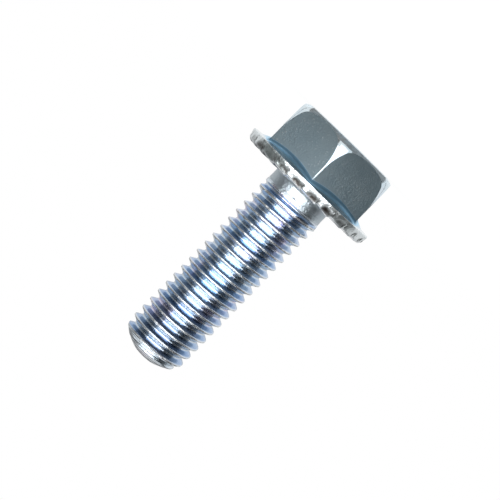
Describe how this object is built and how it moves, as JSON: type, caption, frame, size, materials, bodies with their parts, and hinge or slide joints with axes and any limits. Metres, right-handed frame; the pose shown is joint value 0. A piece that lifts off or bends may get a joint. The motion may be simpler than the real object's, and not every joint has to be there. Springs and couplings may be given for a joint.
{
  "type": "flange bolt",
  "caption": "Hexagon bolt with a wide flange whose underside has slanted locking teeth, a plain neck and a coarse right-hand thread to a tapered tip.",
  "frame": {"origin": "centre of the flat top of the head, on which the bolt stands", "axes": "+Z along the bolt's axis from the head to the tip, +X through the middle of one flat of the hexagon, one corner of the hexagon towards -Y"},
  "size_m": [0.0172, 0.0172, 0.0328],
  "materials": {
    "zinc_plate": "bright zinc plating with a slight blue tint, satin on the faces of the hexagon"
  },
  "bodies": {
    "root": {"flange_bolt": "zinc_plate"}
  },
  "joints": []
}
